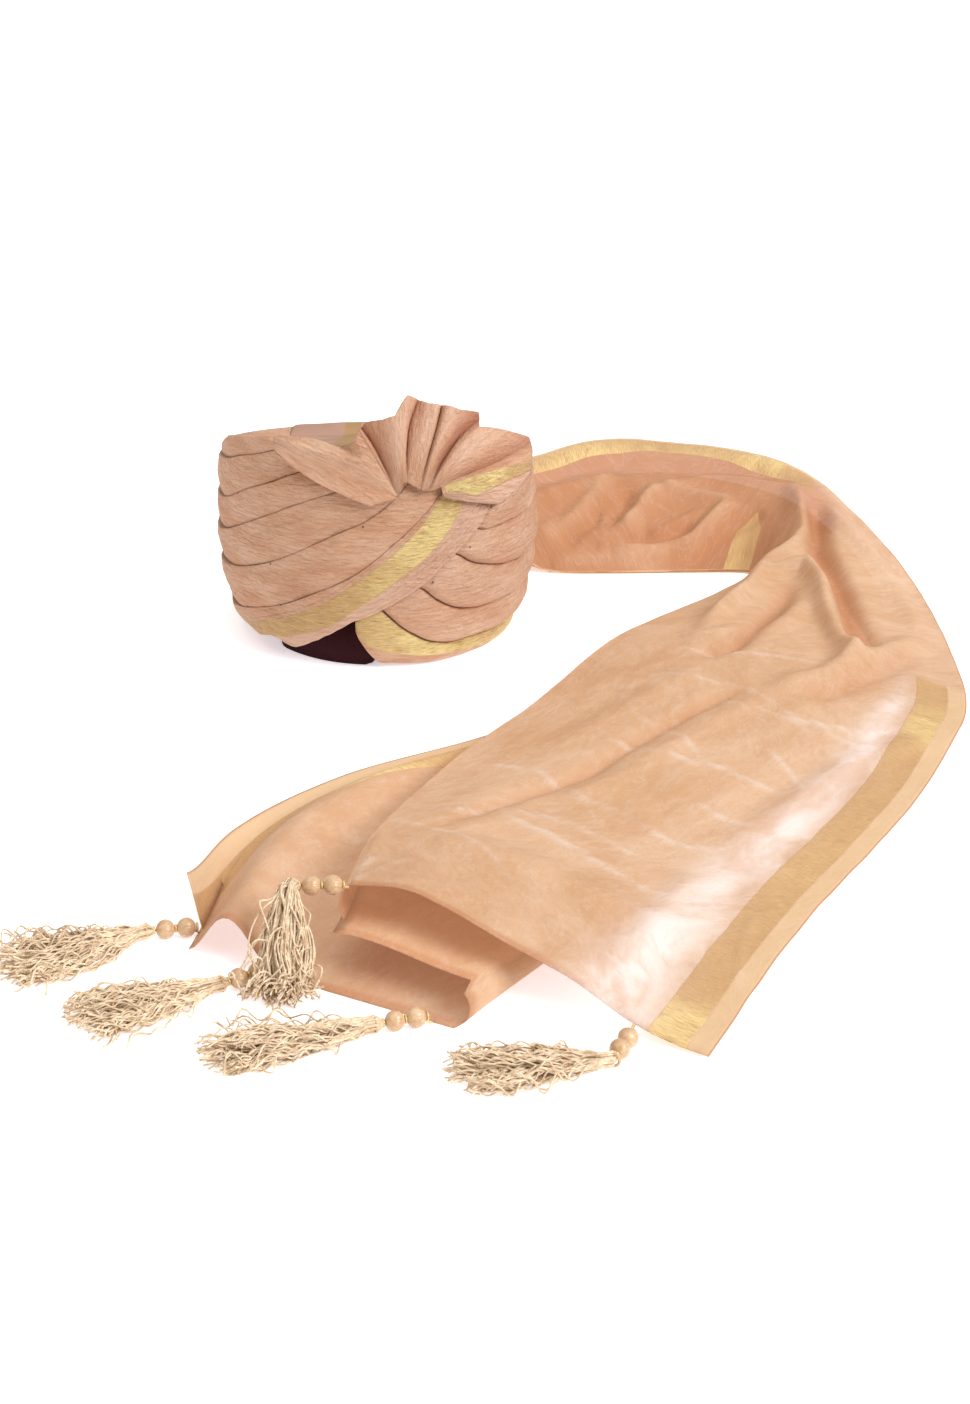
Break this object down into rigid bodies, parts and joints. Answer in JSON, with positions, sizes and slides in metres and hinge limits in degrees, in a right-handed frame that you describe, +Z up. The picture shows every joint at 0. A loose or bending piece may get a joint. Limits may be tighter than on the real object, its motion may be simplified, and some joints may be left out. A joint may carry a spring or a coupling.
{
  "type": "turban",
  "caption": "Ready-made wound turban with a pleated front fan, gold-striped border and a long folded tail ending in beaded tassels, lying on a surface.",
  "frame": {"origin": "middle of the head opening, at the level of the floor that the turban rests on", "axes": "+Z up out of the crown, -Y to the wearer's front with the pleated fan, +X to the wearer's left, where the tail lies"},
  "size_m": [0.6951, 1.0544, 0.2328],
  "materials": {
    "rose_cloth": "matt silk-blend cloth with fine slub",
    "crown_cloth": "matt cloth",
    "bordered_cloth": "matt cloth with a woven metallic gold stripe",
    "tail_cloth": "sheer crinkled cloth with woven gold border stripes",
    "bead_thread": "satin wound thread",
    "tassel_yarn": "matt wavy yarn"
  },
  "bodies": {
    "root": {"crown_cap": "crown_cloth", "wrap_1": "bordered_cloth", "wrap_2": "rose_cloth", "wrap_3": "rose_cloth", "wrap_4": "rose_cloth", "wrap_5": "rose_cloth", "wrap_6": "rose_cloth", "pleated_fan": "rose_cloth", "tail": "tail_cloth", "tassel_1_cord": "bead_thread", "tassel_1_upper_bead": "bead_thread", "tassel_1_lower_bead": "bead_thread", "tassel_1_skirt": "tassel_yarn", "tassel_2_cord": "bead_thread", "tassel_2_upper_bead": "bead_thread", "tassel_2_lower_bead": "bead_thread", "tassel_2_skirt": "tassel_yarn", "tassel_3_cord": "bead_thread", "tassel_3_upper_bead": "bead_thread", "tassel_3_lower_bead": "bead_thread", "tassel_3_skirt": "tassel_yarn", "tassel_4_cord": "bead_thread", "tassel_4_upper_bead": "bead_thread", "tassel_4_lower_bead": "bead_thread", "tassel_4_skirt": "tassel_yarn", "tassel_5_cord": "bead_thread", "tassel_5_upper_bead": "bead_thread", "tassel_5_lower_bead": "bead_thread", "tassel_5_skirt": "tassel_yarn"}
  },
  "joints": []
}
